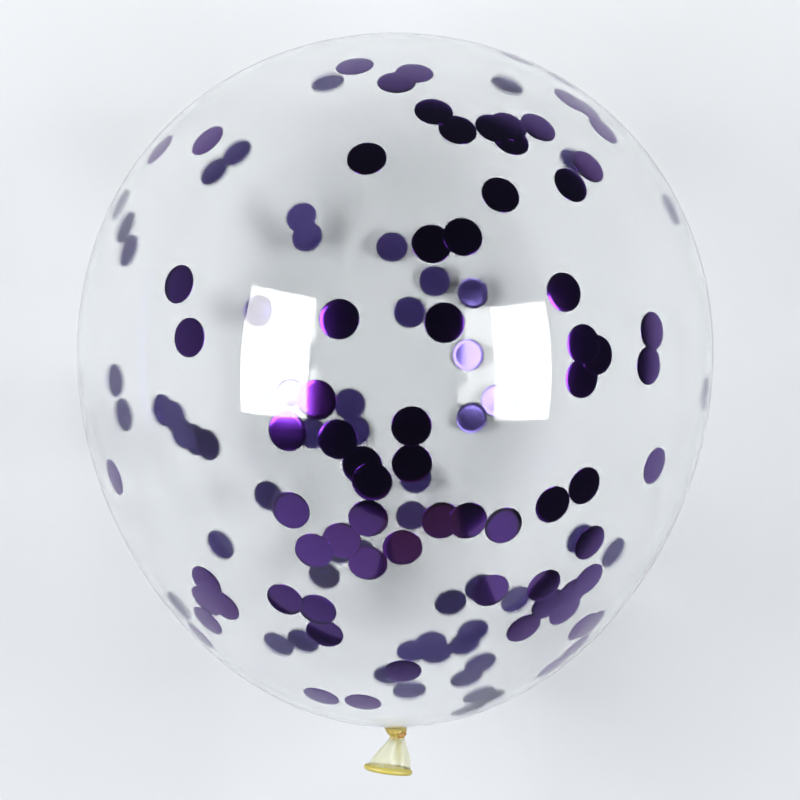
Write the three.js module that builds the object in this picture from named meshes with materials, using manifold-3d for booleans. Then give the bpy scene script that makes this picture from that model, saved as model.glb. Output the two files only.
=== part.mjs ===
// A clear latex balloon, tied off with a knot in its own neck and lying on its side.
// Millimetres, +Z up. The long axis runs along Y, crown towards +Y and neck towards -Y.
// The origin is the centre of the small flat spot that the balloon rests on.

import * as THREE from 'three';
import { mergeVertices } from 'three/addons/utils/BufferGeometryUtils.js';
import Module from 'manifold-3d';

// Inflated body: an egg of revolution, fuller towards the crown
const BODY_RADIUS = 132.6;
const BODY_LENGTH = 290.4;
const CROWN_FULLNESS = 0.08;
const BODY_RINGS = 36;
const BODY_SIDES = 60;

// Flat spot on the underside, where the soft body settles on a table
const FLAT_DEPTH = 1.5;

// Gathered neck between the body and the waist of the knot
const GATHER_RADIUS = 8.0;
const KNOT_HALF_WIDTH = 4.3;
const KNOT_HALF_DEPTH = 4.0;
const WAIST_HALF_WIDTH = 2.8;
const WAIST_HALF_DEPTH = 2.5;
const KNOT_DROP = 2.1;
const WAIST_DROP = 4.6;
const NECK_BURIED = 3.0;

// Strand of latex that wraps the neck to make the knot
const WRAP_RADIUS = 2.9;
const WRAP_STRAND = 1.15;
const WRAP_TURNS = 1.15;
const WRAP_START_ANGLE = 0.35;
const WRAP_END_GAP = 0.7;
const WRAP_TUCKED_SHARE = 0.45;
const WRAP_TUCK_RATE = 6;
const WRAP_POINTS = 14;
const WRAP_STEPS = 30;
const WRAP_SIDES = 8;

// Tail: an open skirt that flares from the waist to the mouth and leans to one side
const MOUTH_HALF_WIDTH = 8.9;
const MOUTH_HALF_DEPTH = 6.2;
const MOUTH_DROP = 18.5;
const MOUTH_SHIFT = -3.0;
const WAIST_SHIFT = 0.8;
const MOUTH_TILT = THREE.MathUtils.degToRad(7.4);
const FLARE_POWER = 1.4;
const TAIL_WALL = 0.4;
const TAIL_INSIDE_START = 0.22;

// Pleats of the tail: shallow all round, with one deep fold that faces up.
// Depths are shares of the tail's half width, and all fade towards the mouth.
const PLEATS = 7;
const PLEAT_DEPTH = 0.09;
const PLEAT_FADE = 0.7;
const FOLD_ANGLE = THREE.MathUtils.degToRad(66);
const FOLD_WIDTH = THREE.MathUtils.degToRad(17);
const FOLD_DEPTH = 0.24;

// Rolled lip around the mouth: a bead that is open only where the tail runs into it
const LIP_RADIUS = 1.3;
const LIP_START = -0.3 * Math.PI;
const LIP_END = 1.3 * Math.PI;

const NECK_SIDES = 36;
const FILLET_RINGS = 5;
const TAIL_RINGS = 10;
const LIP_RINGS = 7;
const INSIDE_RINGS = 6;

// Points closer than this are one point
const MERGE_DISTANCE = 1e-4;

const HALF_LENGTH = BODY_LENGTH / 2;

const wasm = await Module();
wasm.setup();

// Radius of the egg at a station from -1 at the neck to +1 at the crown
function eggRadius(station) {
  const round = Math.sqrt(Math.max(0, 1 - station * station));
  return BODY_RADIUS * round * (1 + CROWN_FULLNESS * station);
}

// Station where the egg is widest: there 2 f s^2 + s - f is zero, with f the fullness
const WIDEST_STATION = (Math.sqrt(1 + 8 * CROWN_FULLNESS ** 2) - 1) / (4 * CROWN_FULLNESS);
const AXIS_HEIGHT = eggRadius(WIDEST_STATION) - FLAT_DEPTH;
const MIDDLE_Y = -WIDEST_STATION * HALF_LENGTH;
const NECK_Y = MIDDLE_Y - HALF_LENGTH;

// How far the egg's end has curved back at the radius where the film starts to gather
function gatherRise() {
  const bend = (BODY_RADIUS * (1 - CROWN_FULLNESS)) ** 2 / HALF_LENGTH;
  return GATHER_RADIUS ** 2 / (2 * bend);
}

function solidOf(geometry) {
  const bare = geometry.clone();
  bare.deleteAttribute('normal');
  bare.deleteAttribute('uv');
  const merged = mergeVertices(bare, MERGE_DISTANCE);
  return new wasm.Manifold(new wasm.Mesh({
    numProp: 3,
    vertProperties: new Float32Array(merged.attributes.position.array),
    triVerts: new Uint32Array(merged.index.array),
  }));
}

function geometryOf(solid) {
  const mesh = solid.getMesh();
  const geometry = new THREE.BufferGeometry();
  geometry.setAttribute('position', new THREE.BufferAttribute(new Float32Array(mesh.vertProperties), 3));
  geometry.setIndex(new THREE.BufferAttribute(new Uint32Array(mesh.triVerts), 1));
  geometry.computeVertexNormals();
  return geometry;
}

// The egg turned about the long axis, with rings closer together towards both ends
function bodyGeometry() {
  const profile = [];
  for (let ring = 0; ring <= BODY_RINGS; ring += 1) {
    const station = -Math.cos(Math.PI * ring / BODY_RINGS);
    const onAxis = ring === 0 || ring === BODY_RINGS;
    const radius = onAxis ? 0 : eggRadius(station);
    profile.push(new THREE.Vector2(radius, MIDDLE_Y + station * HALF_LENGTH));
  }
  const geometry = new THREE.LatheGeometry(profile, BODY_SIDES);
  geometry.translate(0, 0, AXIS_HEIGHT);
  return geometry;
}

// How far the tail has opened, from 0 at the waist to 1 at the mouth
function flare(along) {
  return Math.sin(Math.PI / 2 * along) ** FLARE_POWER;
}

// Pleats and the one deep fold, strongest at the waist and gone at the mouth
function pleat(angle, along) {
  const fade = (1 - along) ** PLEAT_FADE;
  const offFold = Math.atan2(Math.sin(angle - FOLD_ANGLE), Math.cos(angle - FOLD_ANGLE));
  const fold = Math.exp(-((offFold / FOLD_WIDTH) ** 2));
  return 1 + fade * (PLEAT_DEPTH * Math.cos(PLEATS * angle) - FOLD_DEPTH * fold);
}

// One loop of the neck: an oval across the axis at a drop below the body, leaning with the mouth.
// The lean grows from nothing at the waist to the full tilt at the mouth.
function neckLoop({ drop, halfWidth, halfDepth, shift, along, pleated, bead }) {
  const loop = [];
  for (let side = 0; side < NECK_SIDES; side += 1) {
    const angle = 2 * Math.PI * side / NECK_SIDES;
    const ripple = pleated ? pleat(angle, along) : 1;
    const outward = new THREE.Vector2(Math.cos(angle) / halfWidth, Math.sin(angle) / halfDepth).normalize();
    const across = halfWidth * Math.cos(angle) * ripple + bead.out * outward.x;
    const up = halfDepth * Math.sin(angle) * ripple + bead.out * outward.y;
    const lean = along * across * Math.tan(MOUTH_TILT);
    loop.push(new THREE.Vector3(shift + across, NECK_Y - drop - lean - bead.down, AXIS_HEIGHT + up));
  }
  return loop;
}

const NO_BEAD = { out: 0, down: 0 };

// The film draws in from the body to the knot along a round fillet, then tapers to the waist.
// The first loop is sunk in the body, so that the two join.
function gatherLoops() {
  const rise = gatherRise();
  const stations = [[-NECK_BURIED, GATHER_RADIUS, GATHER_RADIUS]];
  for (let ring = 0; ring <= FILLET_RINGS; ring += 1) {
    const turn = Math.PI / 2 * ring / FILLET_RINGS;
    stations.push([
      THREE.MathUtils.lerp(KNOT_DROP, -rise, Math.cos(turn)),
      THREE.MathUtils.lerp(GATHER_RADIUS, KNOT_HALF_WIDTH, Math.sin(turn)),
      THREE.MathUtils.lerp(GATHER_RADIUS, KNOT_HALF_DEPTH, Math.sin(turn)),
    ]);
  }
  stations.push([
    (KNOT_DROP + WAIST_DROP) / 2,
    (KNOT_HALF_WIDTH + WAIST_HALF_WIDTH) / 2,
    (KNOT_HALF_DEPTH + WAIST_HALF_DEPTH) / 2,
  ]);
  return stations.map(([drop, halfWidth, halfDepth]) => neckLoop({
    drop,
    halfWidth,
    halfDepth,
    shift: WAIST_SHIFT * Math.max(0, drop) / WAIST_DROP,
    along: 0,
    pleated: false,
    bead: NO_BEAD,
  }));
}

// Section of the tail at a point along it, drawn in by a wall thickness for the inside
function tailLoop(along, inset) {
  return neckLoop({
    drop: THREE.MathUtils.lerp(WAIST_DROP, MOUTH_DROP, along),
    halfWidth: THREE.MathUtils.lerp(WAIST_HALF_WIDTH, MOUTH_HALF_WIDTH, flare(along)) - inset,
    halfDepth: THREE.MathUtils.lerp(WAIST_HALF_DEPTH, MOUTH_HALF_DEPTH, flare(along)) - inset,
    shift: THREE.MathUtils.lerp(WAIST_SHIFT, MOUTH_SHIFT, along),
    along,
    pleated: true,
    bead: NO_BEAD,
  });
}

// The tail runs into the roll of the lip just above the ring that the roll is centred on
const TAIL_END = 1 - LIP_RADIUS / (MOUTH_DROP - WAIST_DROP);

function tailLoops(from, to, count, inset) {
  const loops = [];
  for (let ring = 0; ring < count; ring += 1) {
    loops.push(tailLoop(THREE.MathUtils.lerp(from, to, ring / (count - 1)), inset));
  }
  return loops;
}

function lipLoops() {
  const loops = [];
  for (let ring = 0; ring < LIP_RINGS; ring += 1) {
    const turn = THREE.MathUtils.lerp(LIP_START, LIP_END, ring / (LIP_RINGS - 1));
    loops.push(neckLoop({
      drop: MOUTH_DROP,
      halfWidth: MOUTH_HALF_WIDTH,
      halfDepth: MOUTH_HALF_DEPTH,
      shift: MOUTH_SHIFT,
      along: 1,
      pleated: false,
      bead: { out: LIP_RADIUS * Math.cos(turn), down: LIP_RADIUS * Math.sin(turn) },
    }));
  }
  return loops;
}

// Skin through a row of loops, closed by a fan at the first and the last one
function loftGeometry(loops) {
  const points = loops.flat();
  const triangles = [];
  const sides = NECK_SIDES;
  for (let row = 0; row + 1 < loops.length; row += 1) {
    for (let side = 0; side < sides; side += 1) {
      const next = (side + 1) % sides;
      const a = row * sides + side;
      const b = row * sides + next;
      const c = a + sides;
      const d = b + sides;
      triangles.push(a, b, c, b, d, c);
    }
  }
  const ends = [[0, true], [loops.length - 1, false]];
  for (const [row, first] of ends) {
    const centre = points.length;
    const middle = new THREE.Vector3();
    loops[row].forEach((point) => middle.addScaledVector(point, 1 / sides));
    points.push(middle);
    for (let side = 0; side < sides; side += 1) {
      const here = row * sides + side;
      const next = row * sides + (side + 1) % sides;
      triangles.push(centre, first ? next : here, first ? here : next);
    }
  }
  const geometry = new THREE.BufferGeometry().setFromPoints(points);
  geometry.setIndex(triangles);
  return geometry;
}

function neckGeometry() {
  return loftGeometry([
    ...gatherLoops(),
    ...tailLoops(0, TAIL_END, TAIL_RINGS, 0),
    ...lipLoops(),
    ...tailLoops(TAIL_END, TAIL_INSIDE_START, INSIDE_RINGS, TAIL_WALL),
  ]);
}

// The wrapped strand: a little more than one turn down the neck, with both ends tucked in
function wrapGeometry() {
  const route = [];
  for (let index = 0; index <= WRAP_POINTS; index += 1) {
    const part = index / WRAP_POINTS;
    const angle = WRAP_START_ANGLE + 2 * Math.PI * WRAP_TURNS * part;
    const tucked = Math.min(1, WRAP_TUCKED_SHARE + WRAP_TUCK_RATE * Math.min(part, 1 - part));
    const radius = WRAP_RADIUS * tucked;
    const drop = THREE.MathUtils.lerp(KNOT_DROP, WAIST_DROP - WRAP_END_GAP, part);
    const shift = WAIST_SHIFT * drop / WAIST_DROP;
    route.push(new THREE.Vector3(
      shift + radius * Math.cos(angle),
      NECK_Y - drop,
      AXIS_HEIGHT + radius * Math.sin(angle),
    ));
  }
  const strand = new THREE.Shape();
  for (let side = 0; side < WRAP_SIDES; side += 1) {
    const angle = 2 * Math.PI * side / WRAP_SIDES;
    const corner = [WRAP_STRAND * Math.cos(angle), WRAP_STRAND * Math.sin(angle)];
    if (side === 0) {
      strand.moveTo(...corner);
    } else {
      strand.lineTo(...corner);
    }
  }
  strand.closePath();
  return new THREE.ExtrudeGeometry(strand, {
    steps: WRAP_STEPS,
    bevelEnabled: false,
    extrudePath: new THREE.CatmullRomCurve3(route),
  });
}

// A block under the balloon whose top is the table, to cut the flat spot
function tableGeometry() {
  const side = 2 * BODY_LENGTH;
  const geometry = new THREE.BoxGeometry(side, side, side);
  geometry.translate(0, 0, -side / 2);
  return geometry;
}

function balloonMesh() {
  const solid = solidOf(bodyGeometry())
    .add(solidOf(neckGeometry()))
    .add(solidOf(wrapGeometry()))
    .subtract(solidOf(tableGeometry()));
  const latex = new THREE.MeshStandardMaterial({
    color: 0xe6e9ec,
    roughness: 0.08,
    metalness: 0,
    transparent: true,
    opacity: 0.25,
  });
  const mesh = new THREE.Mesh(geometryOf(solid), latex);
  mesh.name = 'balloon';
  return mesh;
}

const confettiBalloon = new THREE.Group();
confettiBalloon.add(balloonMesh());

export default confettiBalloon;
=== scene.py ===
"""Looks of the confetti balloon: a clear latex skin with purple foil dots inside, lying on a pale table."""
import math
import random

import bpy
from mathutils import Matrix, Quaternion, Vector, noise


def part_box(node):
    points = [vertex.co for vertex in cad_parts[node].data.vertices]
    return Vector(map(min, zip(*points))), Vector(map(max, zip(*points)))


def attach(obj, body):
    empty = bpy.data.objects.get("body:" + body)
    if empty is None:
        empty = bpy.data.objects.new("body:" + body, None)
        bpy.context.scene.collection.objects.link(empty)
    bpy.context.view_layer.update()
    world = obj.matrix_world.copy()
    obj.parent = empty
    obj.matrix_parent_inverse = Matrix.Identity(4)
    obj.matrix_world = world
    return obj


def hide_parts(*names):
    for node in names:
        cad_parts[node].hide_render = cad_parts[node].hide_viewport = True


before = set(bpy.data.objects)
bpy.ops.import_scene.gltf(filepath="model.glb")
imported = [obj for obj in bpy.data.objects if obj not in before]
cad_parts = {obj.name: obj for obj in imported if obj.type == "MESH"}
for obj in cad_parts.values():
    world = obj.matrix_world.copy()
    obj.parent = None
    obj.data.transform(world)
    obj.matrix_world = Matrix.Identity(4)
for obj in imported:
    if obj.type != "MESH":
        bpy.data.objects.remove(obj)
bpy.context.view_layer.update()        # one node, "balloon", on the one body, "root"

MM = 0.001

# Egg of the body, as in the solid: radius from the frame, fuller towards the crown
CROWN_FULLNESS = 0.08
LOW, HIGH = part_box("balloon")
WIDEST_RADIUS = (HIGH.x - LOW.x) / 2
AXIS_HEIGHT = HIGH.z - WIDEST_RADIUS
WIDEST_STATION = (math.sqrt(1 + 8 * CROWN_FULLNESS ** 2) - 1) / (4 * CROWN_FULLNESS)
BODY_RADIUS = WIDEST_RADIUS / (math.sqrt(1 - WIDEST_STATION ** 2) * (1 + CROWN_FULLNESS * WIDEST_STATION))
HALF_LENGTH = HIGH.y / (1 - WIDEST_STATION)
MIDDLE_Y = HIGH.y - HALF_LENGTH
NECK_Y = MIDDLE_Y - HALF_LENGTH

# Neck, knot, tail and lip, as in the solid
GATHER_RADIUS = 8.0 * MM
KNOT_HALF_WIDTH = 4.3 * MM
KNOT_HALF_DEPTH = 4.0 * MM
WAIST_HALF_WIDTH = 2.8 * MM
WAIST_HALF_DEPTH = 2.5 * MM
KNOT_DROP = 2.1 * MM
WAIST_DROP = 4.6 * MM
WRAP_RADIUS = 2.9 * MM
WRAP_STRAND = 1.15 * MM
WRAP_TURNS = 1.15
WRAP_START_ANGLE = 0.35
WRAP_TUCKED_SHARE = 0.45
WRAP_TUCK_RATE = 6
WRAP_END_GAP = 0.6 * WRAP_STRAND
WRAP_CREASES = 5
WRAP_CREASE_DEPTH = 0.06
WRAP_DOUBLED = ((0.95, 0.12), (0.03, 0.08))     # where the strand lies double: place along it, width
BUNCHED_TINT = 1.6
MOUTH_HALF_WIDTH = 8.9 * MM
MOUTH_HALF_DEPTH = 6.2 * MM
MOUTH_DROP = 18.5 * MM
MOUTH_SHIFT = -3.0 * MM
WAIST_SHIFT = 0.8 * MM
MOUTH_TILT = math.radians(7.4)
FLARE_POWER = 1.4
TAIL_WALL = 0.35 * MM
TAIL_INSIDE_START = 0.02
TAIL_PINCH = 0.3
TAIL_PINCH_POWER = 0.6
TAIL_CLEAR_START = 0.06
BUNCHED_SHARE = 0.25
FOLD_SHARE = 1.1
FOLD_TINT = 1.1
PLEATS = 7
PLEAT_DEPTH = 0.09
PLEAT_FADE = 0.7
FINE_CREASES = ((17, 0.035, 1.3), (29, 0.02, 0.4))      # number round the tail, depth, turn
GATHER_CREASES = 13
GATHER_WAVES = 8
GATHER_DEPTH = 0.05
GATHER_CLEAR_SHARE = 0.7
FOLD_ANGLE = math.radians(66)
FOLD_WIDTH = math.radians(17)
FOLD_DEPTH = 0.24
LIP_RADIUS = 1.3 * MM
LIP_START = -0.3 * math.pi
LIP_SWEEP = 1.6 * math.pi
LIP_TINT = 0.4
TAIL_END = 1 - LIP_RADIUS / (MOUTH_DROP - WAIST_DROP)

# Cloudiness of the film: the length of one cloud, how dense it is, and where the film thickens at both ends
FILM_CLOUD = 45 * MM
FILM_TINT = 0.5
CLOUD_TINT = 0.4
END_TINT = 0.5
END_STATION = 0.9

# Fineness of the skin's mesh
SIDES = 144
BODY_RINGS = 100
FILLET_RINGS = 12
KNOT_RINGS = 8
TAIL_RINGS = 40
LIP_RINGS = 16
INSIDE_RINGS = 24
WRAP_SIDES = 20
WRAP_STEPS = 120

# Camera straight above, in the frame of an 800 pixel square photograph
PHOTO_SIZE = 800
SENSOR_MM = 36.0
LENS_MM = 103.1
FOCAL_PIXELS = LENS_MM / SENSOR_MM * PHOTO_SIZE
CAMERA_PLACE = Vector((2.0 * MM, MIDDLE_Y - 8.0 * MM, AXIS_HEIGHT + 966 * MM))

# Where along a line of sight the body is looked for
NEAREST_REACH = 0.7
REACH_RANGE = 0.5
REACH_SAMPLES = 400
REACH_HALVINGS = 50

# Foil dots
DOT_RADIUS = 7.5 * MM
DOT_THICKNESS = 0.08 * MM
DOT_GAP = 0.25 * MM
DOT_LAYER = 0.16 * MM
DOT_LIFT = 0.12 * MM
DOT_SIDES = 40
DOT_RINGS = (0.4, 0.75, 0.97)
CONFETTI_SEED = 11

# Centres of the dots in the photograph, in pixels, on the upper wall that faces the camera.
# Within a group the first of two that overlap lies against the wall.
UPPER_WALL = {
    "crown": [(354.5, 65.5), (414.5, 72.5), (396.5, 81.5)],
    "crown rim": [(518.5, 58), (562, 79)],
    "crown right": [(434, 111), (458, 129), (494.5, 127.5), (509, 125.5), (511.5, 139), (539, 126.5)],
    "crown left": [(206.5, 140), (158.5, 149)],
    "right shoulder": [(571, 99.5), (587, 108), (604.5, 129), (589, 166), (571.5, 184.5)],
    "above middle": [(366.5, 158), (501, 194.5), (463, 236.5), (432, 243.5)],
    "left flank": [(178, 284), (188.5, 337.5), (113.5, 477.5)],
    "right flank": [(564.5, 292), (584, 344), (598, 355), (583, 378.5)],
    "right edge": [(653, 331), (650, 365.5), (655.5, 466)],
    "middle": [(339, 319), (444.5, 322.5), (411.5, 426.5), (412, 464)],
    "middle left": [(316.5, 400), (287, 431.5), (337.5, 439.5), (372, 482), (362, 466)],
    "lower right": [(585, 486), (553.5, 505), (590.5, 543)],
    "below middle": [(468, 521), (441.5, 521), (504, 526), (290.5, 510.5), (368, 519)],
    "lower middle": [(402.5, 548), (341.5, 541), (313.5, 551.5), (367.5, 564)],
    "lower left": [(284.5, 600), (317, 610.5), (324, 634)],
    "left rim": [(205.5, 582.5), (222.5, 606), (204.5, 602), (206.5, 621.5), (199, 636)],
    "neck": [(320.5, 697), (362.5, 703), (402.5, 672)],
    "lower right chain": [(491, 591), (544.5, 586), (589, 580), (573, 594), (549, 605), (566, 611.5)],
    "lower right end": [(524.5, 629), (583.5, 627), (592, 625)],
    "right rim": [(554, 667), (577, 648), (657, 559)],
}

# The same on the lower wall, seen through the balloon. There the first lies against the wall below.
LOWER_WALL = {
    "crown": [(327.5, 84), (507.5, 86.5), (573.5, 163)],
    "crown left": [(237, 154), (214.5, 172), (120.5, 205), (126, 228), (129, 251)],
    "right edge": [(671, 210), (705, 393.5)],
    "above middle": [
        (307.5, 237.5), (301.5, 217.5), (392, 247.5), (434.5, 281.5), (472.5, 293.5), (409.5, 312.5)],
    "middle": [(258.5, 311), (291.5, 394), (468, 355), (496, 400), (471.5, 417.5)],
    "middle left": [(349.5, 404), (354.5, 430.5), (312, 433)],
    "left flank": [
        (116, 380.5), (124.5, 414.5), (164, 410), (174.5, 416.5), (183, 433), (195.5, 439.5),
        (207.5, 444.5)],
    "lower left": [(269, 495.5), (221, 544), (278.5, 643), (303, 640), (179, 605.5)],
    "lower middle": [(415.5, 478), (411.5, 515), (324.5, 574.5), (360, 552), (339, 549)],
    "lower right": [(579, 538), (612.5, 552), (450.5, 601.5), (480, 586.5), (515.5, 598.5)],
    "neck right": [(472.5, 630.5), (464.5, 643), (430.5, 642), (413, 650), (437, 652.5)],
    "neck": [(480.5, 662.5), (467, 677), (480, 694), (470, 709), (490, 698), (409.5, 689), (390, 674)],
}


# Shape of the body

def egg_radius(station):
    """Radius of the body at a station from -1 at the neck to +1 at the crown."""
    return BODY_RADIUS * math.sqrt(max(0.0, 1 - station * station)) * (1 + CROWN_FULLNESS * station)


def station_of(y):
    return (y - MIDDLE_Y) / HALF_LENGTH


def depth_inside(point):
    """How far a point is inside the body, measured across the long axis. Negative outside."""
    station = station_of(point.y)
    if abs(station) >= 1:
        return -abs(station)
    return egg_radius(station) - math.hypot(point.x, point.z - AXIS_HEIGHT)


def on_body(point):
    """The point moved straight away from the long axis to the body's surface."""
    station = max(-0.9999, min(0.9999, station_of(point.y)))
    angle = math.atan2(point.z - AXIS_HEIGHT, point.x)
    radius = egg_radius(station)
    y = MIDDLE_Y + station * HALF_LENGTH
    return Vector((radius * math.cos(angle), y, AXIS_HEIGHT + radius * math.sin(angle)))


def body_normal(point):
    """Outward normal of the body at a point on it."""
    step = 0.0005
    station = max(-0.999, min(0.999, station_of(point.y)))
    slope = (egg_radius(station + step) - egg_radius(station - step)) / (2 * step * HALF_LENGTH)
    angle = math.atan2(point.z - AXIS_HEIGHT, point.x)
    return Vector((math.cos(angle), -slope, math.sin(angle))).normalized()


# Mesh helpers

def new_object(name, vertices, faces, materials):
    mesh = bpy.data.meshes.new(name)
    mesh.from_pydata(vertices, [], faces)
    mesh.validate()
    mesh.update()
    for material in materials:
        mesh.materials.append(material)
    mesh.shade_smooth()
    piece = bpy.data.objects.new(name, mesh)
    bpy.context.scene.collection.objects.link(piece)
    return piece


class Skin:
    """Vertices and faces of a mesh that grows row by row, with a material and a tint for each part."""

    def __init__(self):
        self.vertices = []
        self.tints = []
        self.faces = []
        self.slots = []

    def add_row(self, points, tint):
        first = len(self.vertices)
        self.vertices.extend(points)
        self.tints.extend([tint] * len(points) if isinstance(tint, float) else tint)
        return first

    def join_rows(self, upper, lower, sides, slot):
        for side in range(sides):
            after = (side + 1) % sides
            self.faces.append((upper + side, upper + after, lower + after, lower + side))
            self.slots.append(slot)

    def close_row(self, row, sides, tip, tint, slot, facing_start):
        centre = self.add_row([tip], tint)
        for side in range(sides):
            here, after = row + side, row + (side + 1) % sides
            self.faces.append((centre, after, here) if facing_start else (centre, here, after))
            self.slots.append(slot)

    def sweep(self, rows, sides):
        """Joins rows of (points, tint, slot) in turn. The slot is that of the faces before the row."""
        firsts = []
        for points, tint, slot in rows:
            first = self.add_row(points, tint)
            if firsts:
                self.join_rows(firsts[-1], first, sides, slot)
            firsts.append(first)
        return firsts[0], firsts[-1]


# Latex skin: body, gathered neck, knot, tail and lip in one continuous surface

FILM, NECK, TAIL = 0, 1, 2


def flare(along):
    return math.sin(math.pi / 2 * along) ** FLARE_POWER


def in_fold(angle):
    """1 along the middle of the deep fold, falling to 0 beside it."""
    off = math.atan2(math.sin(angle - FOLD_ANGLE), math.cos(angle - FOLD_ANGLE))
    return math.exp(-((off / FOLD_WIDTH) ** 2))


def pleat(angle, along):
    """Pleats and one deep fold of the tail, strongest at the waist, with finer creases between them."""
    fade = (1 - along) ** PLEAT_FADE
    fine = sum(depth * math.cos(count * angle + turn) for count, depth, turn in FINE_CREASES)
    return 1 + fade * (PLEAT_DEPTH * math.cos(PLEATS * angle) - FOLD_DEPTH * in_fold(angle) + fine * fade)


def neck_loop(drop, half_width, half_depth, shift, along, ripple=None, bead_out=0.0, bead_down=0.0):
    """One oval loop of the neck at a drop below the body. It leans more the closer it is to the mouth."""
    loop = []
    for side in range(SIDES):
        angle = 2 * math.pi * side / SIDES
        swell = ripple(angle) if ripple else 1.0
        out = Vector((math.cos(angle) / half_width, math.sin(angle) / half_depth)).normalized()
        across = half_width * math.cos(angle) * swell + bead_out * out.x
        up = half_depth * math.sin(angle) * swell + bead_out * out.y
        lean = along * across * math.tan(MOUTH_TILT)
        loop.append(Vector((shift + across, NECK_Y - drop - lean - bead_down, AXIS_HEIGHT + up)))
    return loop


def film_tints(loop, station):
    """How dense the film looks along one loop: cloudy all over, thicker at the crown and the neck."""
    thick_end = max(0.0, abs(station) - END_STATION) / (1 - END_STATION)
    return [FILM_TINT + CLOUD_TINT * noise.noise(point / FILM_CLOUD) + END_TINT * thick_end ** 2
            for point in loop]


def body_rows():
    """Loops of the inflated body from the crown to where the film starts to gather."""
    last_station = -math.sqrt(1 - (GATHER_RADIUS / (BODY_RADIUS * (1 - CROWN_FULLNESS))) ** 2)
    last_turn = math.acos(last_station)
    rows = []
    for ring in range(1, BODY_RINGS + 1):
        station = math.cos(last_turn * ring / BODY_RINGS)
        radius = egg_radius(station)
        y = MIDDLE_Y + station * HALF_LENGTH
        loop = []
        for side in range(SIDES):
            angle = 2 * math.pi * side / SIDES
            z = AXIS_HEIGHT + radius * math.sin(angle)
            loop.append(Vector((radius * math.cos(angle), y, max(z, 0.0))))
        rows.append((loop, film_tints(loop, station), FILM))
    return rows


def gather(angle, depth):
    """Creases of the film where it is gathered above the knot."""
    return 1 + depth * math.cos(GATHER_CREASES * angle) + 0.6 * depth * math.cos(GATHER_WAVES * angle + 1)


def gather_to_pleat(angle, part):
    """Creases between the knot and the waist, from those of the gather to the pleats of the tail."""
    return 1 + (1 - part) * GATHER_DEPTH * math.cos(GATHER_CREASES * angle) + part * (pleat(angle, 0.0) - 1)


def gather_rows():
    """Loops from the body down a round fillet to the knot, creased more and more, then on to the waist."""
    rise = GATHER_RADIUS ** 2 / (2 * (BODY_RADIUS * (1 - CROWN_FULLNESS)) ** 2 / HALF_LENGTH)
    rows = []
    for ring in range(1, FILLET_RINGS + 1):
        turn = math.pi / 2 * ring / FILLET_RINGS
        drop = KNOT_DROP - (KNOT_DROP + rise) * math.cos(turn)
        half_width = GATHER_RADIUS + (KNOT_HALF_WIDTH - GATHER_RADIUS) * math.sin(turn)
        half_depth = GATHER_RADIUS + (KNOT_HALF_DEPTH - GATHER_RADIUS) * math.sin(turn)
        depth = GATHER_DEPTH * (ring / FILLET_RINGS) ** 2
        loop = neck_loop(drop, half_width, half_depth, WAIST_SHIFT * max(0, drop) / WAIST_DROP, 0.0,
                         lambda angle: gather(angle, depth))
        slot = TAIL if ring < FILLET_RINGS * GATHER_CLEAR_SHARE else NECK
        rows.append((loop, ring / FILLET_RINGS, slot))
    for ring in range(1, KNOT_RINGS):
        part = ring / KNOT_RINGS
        drop = KNOT_DROP + (WAIST_DROP - KNOT_DROP) * part
        half_width = KNOT_HALF_WIDTH + (WAIST_HALF_WIDTH - KNOT_HALF_WIDTH) * part
        half_depth = KNOT_HALF_DEPTH + (WAIST_HALF_DEPTH - KNOT_HALF_DEPTH) * part
        loop = neck_loop(drop, half_width, half_depth, WAIST_SHIFT * drop / WAIST_DROP, 0.0,
                         lambda angle: gather_to_pleat(angle, part))
        rows.append((loop, 1.0, NECK))
    return rows


def tail_loop(along, inset, opening=1.0):
    spread = flare(along)
    return neck_loop(
        WAIST_DROP + (MOUTH_DROP - WAIST_DROP) * along,
        (WAIST_HALF_WIDTH + (MOUTH_HALF_WIDTH - WAIST_HALF_WIDTH) * spread - inset) * opening,
        (WAIST_HALF_DEPTH + (MOUTH_HALF_DEPTH - WAIST_HALF_DEPTH) * spread - inset) * opening,
        WAIST_SHIFT + (MOUTH_SHIFT - WAIST_SHIFT) * along,
        along,
        lambda angle: pleat(angle, along),
    )


def tail_tints(along):
    """How dense the tail looks around one loop: bunched near the waist and along the deep fold."""
    tints = []
    for side in range(SIDES):
        fold = in_fold(2 * math.pi * side / SIDES) * max(0.0, 1 - along / FOLD_SHARE)
        tints.append(min(1.0, max(0.0, 1 - along / BUNCHED_SHARE) + FOLD_TINT * fold))
    return tints


def tail_rows():
    rows = []
    for ring in range(TAIL_RINGS + 1):
        along = TAIL_END * ring / TAIL_RINGS
        rows.append((tail_loop(along, 0.0), tail_tints(along), TAIL if along > TAIL_CLEAR_START else NECK))
    return rows


def lip_rows():
    """Loops round the roll of the lip."""
    rows = []
    for ring in range(LIP_RINGS + 1):
        turn = LIP_START + LIP_SWEEP * ring / LIP_RINGS
        loop = neck_loop(MOUTH_DROP, MOUTH_HALF_WIDTH, MOUTH_HALF_DEPTH, MOUTH_SHIFT, 1.0, None,
                         LIP_RADIUS * math.cos(turn), LIP_RADIUS * math.sin(turn))
        rows.append((loop, LIP_TINT, NECK))
    return rows


def inside_rows():
    """Loops of the tail's inside, which narrows to nothing at the waist."""
    rows = []
    for ring in range(INSIDE_RINGS + 1):
        along = TAIL_END + (TAIL_INSIDE_START - TAIL_END) * ring / INSIDE_RINGS
        opening = min(1.0, along / TAIL_PINCH) ** TAIL_PINCH_POWER
        rows.append((tail_loop(along, TAIL_WALL, opening), tail_tints(along), TAIL))
    return rows


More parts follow.
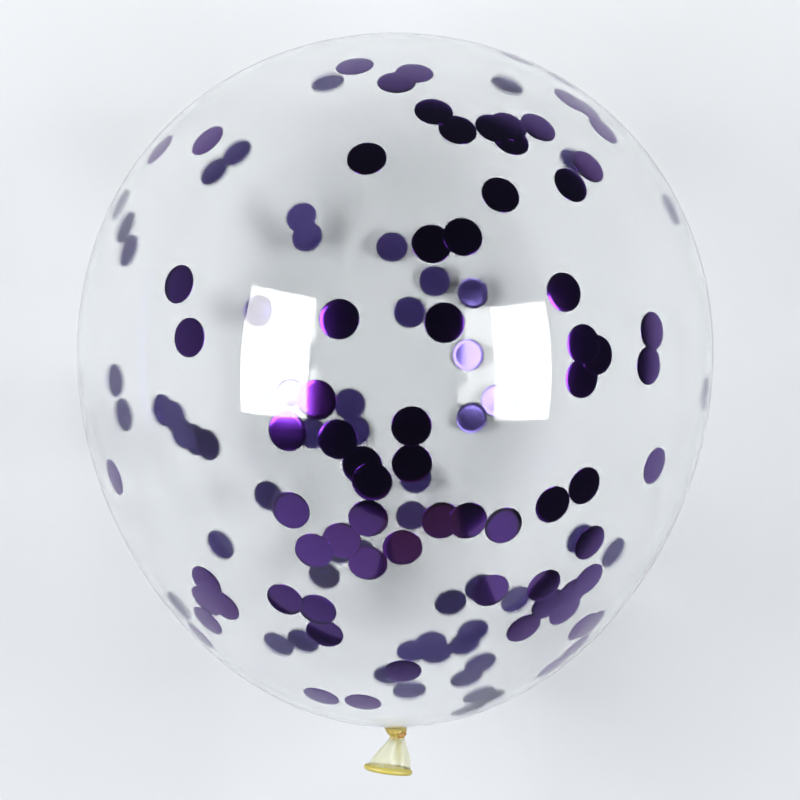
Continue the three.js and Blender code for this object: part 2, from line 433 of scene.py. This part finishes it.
def add_wrap(skin):
    """The strand that wraps the neck: a little more than one turn, creased lengthwise, ends tucked in."""
    rows = []
    for step in range(WRAP_STEPS + 1):
        part = step / WRAP_STEPS
        angle = WRAP_START_ANGLE + 2 * math.pi * WRAP_TURNS * part
        tucked = min(1.0, WRAP_TUCKED_SHARE + WRAP_TUCK_RATE * min(part, 1 - part))
        radius = WRAP_RADIUS * (tucked * tucked * (3 - 2 * tucked))
        drop = KNOT_DROP + (WAIST_DROP - WRAP_END_GAP - KNOT_DROP) * part
        shift = WAIST_SHIFT * drop / WAIST_DROP
        outward = Vector((math.cos(angle), 0, math.sin(angle)))
        centre = Vector((shift, NECK_Y - drop, AXIS_HEIGHT)) + outward * radius
        loop = []
        for side in range(WRAP_SIDES):
            around = 2 * math.pi * side / WRAP_SIDES
            thick = WRAP_STRAND * (1 + WRAP_CREASE_DEPTH * math.cos(WRAP_CREASES * around + 2 * angle))
            along_neck = Vector((0, thick * math.sin(around), 0))
            loop.append(centre + outward * (thick * math.cos(around)) + along_neck)
        doubled = sum(math.exp(-((part - place) / width) ** 2) for place, width in WRAP_DOUBLED)
        rows.append((loop, min(BUNCHED_TINT, 1.0 + (BUNCHED_TINT - 1.0) * doubled), NECK))
    first, last = skin.sweep(rows, WRAP_SIDES)
    middle_first = sum(rows[0][0], Vector()) / WRAP_SIDES
    middle_last = sum(rows[-1][0], Vector()) / WRAP_SIDES
    skin.close_row(first, WRAP_SIDES, middle_first, rows[0][1], NECK, True)
    skin.close_row(last, WRAP_SIDES, middle_last, rows[-1][1], NECK, False)


def make_balloon(materials):
    skin = Skin()
    rows = body_rows() + gather_rows() + tail_rows() + lip_rows() + inside_rows()
    first, last = skin.sweep(rows, SIDES)
    crown = Vector((0, MIDDLE_Y + HALF_LENGTH, AXIS_HEIGHT))
    skin.close_row(first, SIDES, crown, 0.0, FILM, True)
    inner_end = sum(rows[-1][0], Vector()) / SIDES
    skin.close_row(last, SIDES, inner_end, 1.0, TAIL, False)
    add_wrap(skin)
    piece = new_object("balloon_skin", skin.vertices, skin.faces, materials)
    piece.data.polygons.foreach_set("material_index", skin.slots)
    tint = piece.data.attributes.new("tint", "FLOAT", "POINT")
    tint.data.foreach_set("value", skin.tints)
    return piece


# Foil dots

def pixel_ray(pixel):
    across = (pixel[0] - PHOTO_SIZE / 2) / FOCAL_PIXELS
    up = (PHOTO_SIZE / 2 - pixel[1]) / FOCAL_PIXELS
    return Vector((across, up, -1.0)).normalized()


def wall_point(pixel, lower):
    """Where the ray through a pixel meets the body's upper or lower wall, or passes it closest."""
    ray = pixel_ray(pixel)
    reach = [NEAREST_REACH + REACH_RANGE * index / REACH_SAMPLES for index in range(REACH_SAMPLES + 1)]
    inner = max(reach, key=lambda t: depth_inside(CAMERA_PLACE + ray * t))
    if depth_inside(CAMERA_PLACE + ray * inner) <= 0:
        return on_body(CAMERA_PLACE + ray * inner)
    outer = reach[-1] if lower else reach[0]
    for _ in range(REACH_HALVINGS):
        middle = (inner + outer) / 2
        if depth_inside(CAMERA_PLACE + ray * middle) > 0:
            inner = middle
        else:
            outer = middle
    return on_body(CAMERA_PLACE + ray * inner)


def dot_rows(centre, layer, draw):
    """Loops of one dot, from the middle of its outer face round the rim to the middle of its inner face."""
    normal = body_normal(centre)
    along = Vector((0, 1, 0)) - normal * normal.y
    along = along.normalized() if along.length > 0.01 else Vector((1, 0, 0))
    across = normal.cross(along)
    lift = DOT_LIFT * draw.random() ** 2
    lift_turn = draw.uniform(0, 2 * math.pi)

    def point(reach, turn, deeper):
        flat = centre + (along * math.cos(turn) + across * math.sin(turn)) * (reach * DOT_RADIUS)
        wall = on_body(flat)
        raised = lift * (1 + reach * math.cos(turn - lift_turn)) / 2
        inset = DOT_GAP + layer * DOT_LAYER + raised + deeper
        seat = wall - body_normal(wall) * inset
        seat.z = max(seat.z, inset)
        return seat

    turns = [2 * math.pi * side / DOT_SIDES for side in range(DOT_SIDES)]
    reaches = [(r, 0.0) for r in DOT_RINGS] + [(1.0, DOT_THICKNESS / 2)]
    reaches += [(r, DOT_THICKNESS) for r in reversed(DOT_RINGS)]
    rows = [[point(reach, turn, deeper) for turn in turns] for reach, deeper in reaches]
    return point(0.0, 0.0, 0.0), rows, point(0.0, 0.0, DOT_THICKNESS)


def make_confetti(material):
    """All dots as one mesh of separate thin discs, each bent to the wall that it clings to."""
    draw = random.Random(CONFETTI_SEED)
    skin = Skin()
    inner_side = []
    outer_rows = len(DOT_RINGS) + 1
    inner_rows = len(DOT_RINGS)
    for walls, lower in ((UPPER_WALL, False), (LOWER_WALL, True)):
        placed = []
        for group in walls.values():
            for pixel in group:
                centre = wall_point(pixel, lower)
                layer = sum((centre - other).length < 2 * DOT_RADIUS for other in placed)
                placed.append(centre)
                tone = draw.random()
                top, rows, bottom = dot_rows(centre, layer, draw)
                first, last = skin.sweep([(row, tone, 0) for row in rows], DOT_SIDES)
                skin.close_row(first, DOT_SIDES, top, tone, 0, True)
                skin.close_row(last, DOT_SIDES, bottom, tone, 0, False)
                # inner_side marks each dot's inner face, where the foil material paints a veil of scattered
                # light.
                inner_side += [0.0] * (outer_rows * DOT_SIDES) + [1.0] * (inner_rows * DOT_SIDES)
                inner_side += [0.0, 1.0]
    piece = new_object("confetti", skin.vertices, skin.faces, [material])
    for name, values in (("tone", skin.tints), ("inner_side", inner_side)):
        attribute = piece.data.attributes.new(name, "FLOAT", "POINT")
        attribute.data.foreach_set("value", values)
    return piece


# Materials

def node_material(name):
    material = bpy.data.materials.new(name)
    material.use_nodes = True
    nodes = material.node_tree.nodes
    return material, nodes, material.node_tree.links, nodes["Principled BSDF"]


def add_noise(nodes, links, scale, detail):
    place = nodes.new("ShaderNodeTexCoord")
    texture = nodes.new("ShaderNodeTexNoise")
    texture.inputs["Scale"].default_value = scale
    texture.inputs["Detail"].default_value = detail
    links.new(place.outputs["Object"], texture.inputs["Vector"])
    return texture.outputs["Fac"]


def add_ramp(nodes, links, source, stops):
    ramp = nodes.new("ShaderNodeValToRGB")
    elements = ramp.color_ramp.elements
    while len(elements) < len(stops):
        elements.new(0.5)
    for element, (position, colour) in zip(elements, stops):
        element.position = position
        element.color = (*colour, 1)
    links.new(source, ramp.inputs["Fac"])
    return ramp.outputs["Color"]


def add_range(nodes, links, source, low, high, to_low, to_high):
    scaled = nodes.new("ShaderNodeMapRange")
    links.new(source, scaled.inputs["Value"])
    for name, value in (("From Min", low), ("From Max", high), ("To Min", to_low), ("To Max", to_high)):
        scaled.inputs[name].default_value = value
    return scaled.outputs["Result"]


def add_bump(nodes, links, source, strength, distance, shader):
    bump = nodes.new("ShaderNodeBump")
    bump.inputs["Strength"].default_value = strength
    bump.inputs["Distance"].default_value = distance
    links.new(source, bump.inputs["Height"])
    links.new(bump.outputs["Normal"], shader.inputs["Normal"])


def film_material():
    """Stretched latex: nearly clear, with a faint haze and a sharp gloss on top."""
    material, nodes, links, shader = node_material("clear_latex_film")
    tint = nodes.new("ShaderNodeAttribute")
    tint.attribute_name = "tint"
    tone = add_ramp(nodes, links, tint.outputs["Fac"], [
        (0.2, (0.995, 1.0, 0.995)), (1.0, (0.93, 0.95, 0.94))])
    links.new(tone, shader.inputs["Base Color"])
    shader.inputs["Roughness"].default_value = 0.35
    shader.inputs["IOR"].default_value = 1.006
    shader.inputs["Transmission Weight"].default_value = 1.0
    shader.inputs["Alpha"].default_value = 0.6
    shader.inputs["Coat Weight"].default_value = 1.0
    shader.inputs["Coat Roughness"].default_value = 0.045
    shader.inputs["Coat IOR"].default_value = 1.58
    shader.inputs["Sheen Weight"].default_value = 0.03
    shader.inputs["Sheen Roughness"].default_value = 0.7
    shader.inputs["Sheen Tint"].default_value = (0.5, 0.6, 0.8, 1.0)
    return material


def neck_material():
    """Thick unstretched latex of the knot and the lip: straw yellow, amber where it is bunched."""
    material, nodes, links, shader = node_material("thick_latex")
    tint = nodes.new("ShaderNodeAttribute")
    tint.attribute_name = "tint"
    bunched = add_range(nodes, links, tint.outputs["Fac"], 0.0, BUNCHED_TINT, 0.0, 1.0)
    base = add_ramp(nodes, links, bunched, [
        (0.0, (0.36, 0.33, 0.075)), (0.6, (0.36, 0.28, 0.065)), (1.0, (0.28, 0.13, 0.02))])
    links.new(base, shader.inputs["Base Color"])
    links.new(add_range(nodes, links, add_noise(nodes, links, 900.0, 3.0), 0.3, 0.7, 0.28, 0.5),
              shader.inputs["Roughness"])
    shader.inputs["Subsurface Weight"].default_value = 0.6
    shader.inputs["Subsurface Radius"].default_value = (1.0, 0.7, 0.25)
    shader.inputs["Subsurface Scale"].default_value = 1.5 * MM
    add_bump(nodes, links, add_noise(nodes, links, 1400.0, 2.0), 0.25, 0.1 * MM, shader)
    return material


def tail_material():
    """Thin unstretched latex of the tail: frosted and see-through, pale yellow green."""
    material, nodes, links, shader = node_material("tail_latex")
    tint = nodes.new("ShaderNodeAttribute")
    tint.attribute_name = "tint"
    tone = add_ramp(nodes, links, tint.outputs["Fac"], [
        (0.0, (0.80, 0.80, 0.60)), (0.8, (0.40, 0.36, 0.08))])
    links.new(tone, shader.inputs["Base Color"])
    links.new(add_range(nodes, links, add_noise(nodes, links, 260.0, 3.0), 0.3, 0.7, 0.3, 0.45),
              shader.inputs["Roughness"])
    shader.inputs["IOR"].default_value = 1.1
    shader.inputs["Transmission Weight"].default_value = 0.85
    shader.inputs["Alpha"].default_value = 0.5
    shader.inputs["Coat Weight"].default_value = 0.4
    shader.inputs["Coat Roughness"].default_value = 0.25
    return material


def foil_material():
    """Metallised film, deep violet, a little different from dot to dot, with a fine grain in the gloss.
    The side that faces the inside is a bluish grey and less metallic: a painted veil standing in for light
    that the film's haze scatters over the dots seen through the balloon."""
    material, nodes, links, shader = node_material("purple_foil")
    tone = nodes.new("ShaderNodeAttribute")
    tone.attribute_name = "tone"
    base = add_ramp(nodes, links, tone.outputs["Fac"], [
        (0.0, (0.062, 0.013, 0.20)), (0.5, (0.070, 0.015, 0.21)), (1.0, (0.080, 0.014, 0.20))])
    inner_side = nodes.new("ShaderNodeAttribute")
    inner_side.attribute_name = "inner_side"
    # Painted veil: the inner faces get a flat bluish grey in place of light scattered by the film.
    painted_veil_mix = nodes.new("ShaderNodeMix")
    painted_veil_mix.data_type = "RGBA"
    links.new(inner_side.outputs["Fac"], painted_veil_mix.inputs["Factor"])
    links.new(base, painted_veil_mix.inputs["A"])
    painted_veil_mix.inputs["B"].default_value = (0.050, 0.036, 0.155, 1.0)
    links.new(painted_veil_mix.outputs["Result"], shader.inputs["Base Color"])
    links.new(add_range(nodes, links, inner_side.outputs["Fac"], 0.0, 1.0, 1.0, 0.7),
              shader.inputs["Metallic"])
    links.new(add_range(nodes, links, add_noise(nodes, links, 1800.0, 2.0), 0.3, 0.7, 0.10, 0.14),
              shader.inputs["Roughness"])
    add_bump(nodes, links, add_noise(nodes, links, 700.0, 2.0), 0.04, 0.05 * MM, shader)
    return material


def table_material():
    """Smooth pale board, faintly cloudy, with painted light: paler towards the crown, standing in for lamp
    light that falls unevenly across it.
    """
    material, nodes, links, shader = node_material("pale_table")
    cloud = add_noise(nodes, links, 1.5, 2.0)
    place = nodes.new("ShaderNodeTexCoord")
    parts = nodes.new("ShaderNodeSeparateXYZ")
    links.new(place.outputs["Object"], parts.inputs["Vector"])
    # Painted light: the board's colour is made paler towards the crown in place of uneven lamp light.
    painted_light_towards_crown = add_range(nodes, links, parts.outputs["Y"], -0.2, 0.2, -0.4, 0.4)
    mixed = nodes.new("ShaderNodeMath")
    links.new(cloud, mixed.inputs[0])
    links.new(painted_light_towards_crown, mixed.inputs[1])
    tone = add_ramp(nodes, links, mixed.outputs["Value"], [
        (0.1, (0.40, 0.417, 0.438)), (0.9, (0.48, 0.496, 0.513))])
    links.new(tone, shader.inputs["Base Color"])
    shader.inputs["Roughness"].default_value = 0.7
    shader.inputs["Specular IOR Level"].default_value = 0.2
    return material


# Table, light and camera

WHITE = (1.0, 1.0, 1.0)
WARM = (1.0, 0.55, 0.5)
BRIGHT_SIDE = (-0.75, -0.66, 0.0)
SOFTBOX_DISTANCE = 1.2
CARD_DISTANCE = 1.6


def aim(azimuth, from_above):
    """Direction to a lamp, in degrees: azimuth from +X towards +Y, and angle from straight overhead."""
    turn, tilt = math.radians(azimuth), math.radians(from_above)
    return (math.cos(turn) * math.sin(tilt), math.sin(turn) * math.sin(tilt), math.cos(tilt))


def make_table():
    reach = 12.0
    gap = 0.3 * MM
    corners = [(-reach, -reach, -gap), (reach, -reach, -gap), (reach, reach, -gap), (-reach, reach, -gap)]
    table = new_object("table", corners, [(0, 1, 2, 3)], [table_material()])


def make_softbox(name, direction, distance, size, radiance, colour, roll=0.0):
    """A rectangular lamp that faces the balloon's middle. Its watts follow from its brightness."""
    target = Vector((0, 0, AXIS_HEIGHT))
    lamp = bpy.data.lights.new(name, "AREA")
    lamp.shape = "RECTANGLE"
    lamp.size, lamp.size_y = size
    lamp.energy = radiance * math.pi * size[0] * size[1]
    lamp.color = colour
    holder = bpy.data.objects.new(name, lamp)
    towards = Vector(direction).normalized()
    holder.location = target + towards * distance
    facing = towards.to_track_quat("Z", "Y") @ Quaternion((0, 0, 1), math.radians(roll))
    holder.rotation_euler = facing.to_euler()
    bpy.context.scene.collection.objects.link(holder)


def make_world():
    """A dim room: dark overhead and behind the crown, paler low down on the bright side."""
    world = bpy.data.worlds.new("room")
    bpy.context.scene.world = world
    world.use_nodes = True
    nodes, links = world.node_tree.nodes, world.node_tree.links
    place = nodes.new("ShaderNodeTexCoord")
    parts = nodes.new("ShaderNodeSeparateXYZ")
    links.new(place.outputs["Generated"], parts.inputs["Vector"])
    low_down = add_range(nodes, links, parts.outputs["Z"], 0.0, 0.7, 1.0, 0.0)
    front = nodes.new("ShaderNodeVectorMath")
    front.operation = "DOT_PRODUCT"
    front.inputs[1].default_value = BRIGHT_SIDE
    links.new(place.outputs["Generated"], front.inputs[0])
    bright_side = add_range(nodes, links, front.outputs["Value"], -0.1, 1.0, 0.03, 1.0)
    glow = nodes.new("ShaderNodeMath")
    glow.operation = "MULTIPLY"
    links.new(low_down, glow.inputs[0])
    links.new(bright_side, glow.inputs[1])
    strength = add_range(nodes, links, glow.outputs["Value"], 0.0, 1.0, 0.002, 0.7)
    background = nodes["Background"]
    background.inputs["Color"].default_value = (0.93, 0.96, 1.0, 1)
    links.new(strength, background.inputs["Strength"])


def make_camera():
    camera = bpy.data.cameras.new("camera")
    camera.lens = LENS_MM
    camera.sensor_width = SENSOR_MM
    camera.clip_start = 0.01
    holder = bpy.data.objects.new("camera", camera)
    holder.location = CAMERA_PLACE
    bpy.context.scene.collection.objects.link(holder)
    bpy.context.scene.camera = holder


make_camera()
make_table()
make_world()
make_softbox("softbox_left", aim(azimuth=180, from_above=39.5), SOFTBOX_DISTANCE,
             size=(0.72, 0.50), radiance=21.0, colour=WHITE, roll=-7)
make_softbox("softbox_right", aim(azimuth=-3.5, from_above=42.5), SOFTBOX_DISTANCE,
             size=(0.65, 0.42), radiance=22.0, colour=WHITE, roll=7)
make_softbox("front_left_card", aim(azimuth=-116, from_above=58), CARD_DISTANCE,
             size=(1.0, 0.8), radiance=0.6, colour=WHITE)
make_softbox("front_right_card", aim(azimuth=-55, from_above=72), CARD_DISTANCE,
             size=(0.4, 0.9), radiance=0.8, colour=WHITE)
make_softbox("front_warm_card", aim(azimuth=-78, from_above=52), CARD_DISTANCE,
             size=(0.6, 0.6), radiance=0.3, colour=WARM)

balloon = make_balloon([film_material(), neck_material(), tail_material()])
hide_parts("balloon")
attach(balloon, "root")

confetti = make_confetti(foil_material())
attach(confetti, "root")

bpy.context.scene.view_settings.view_transform = "Standard"
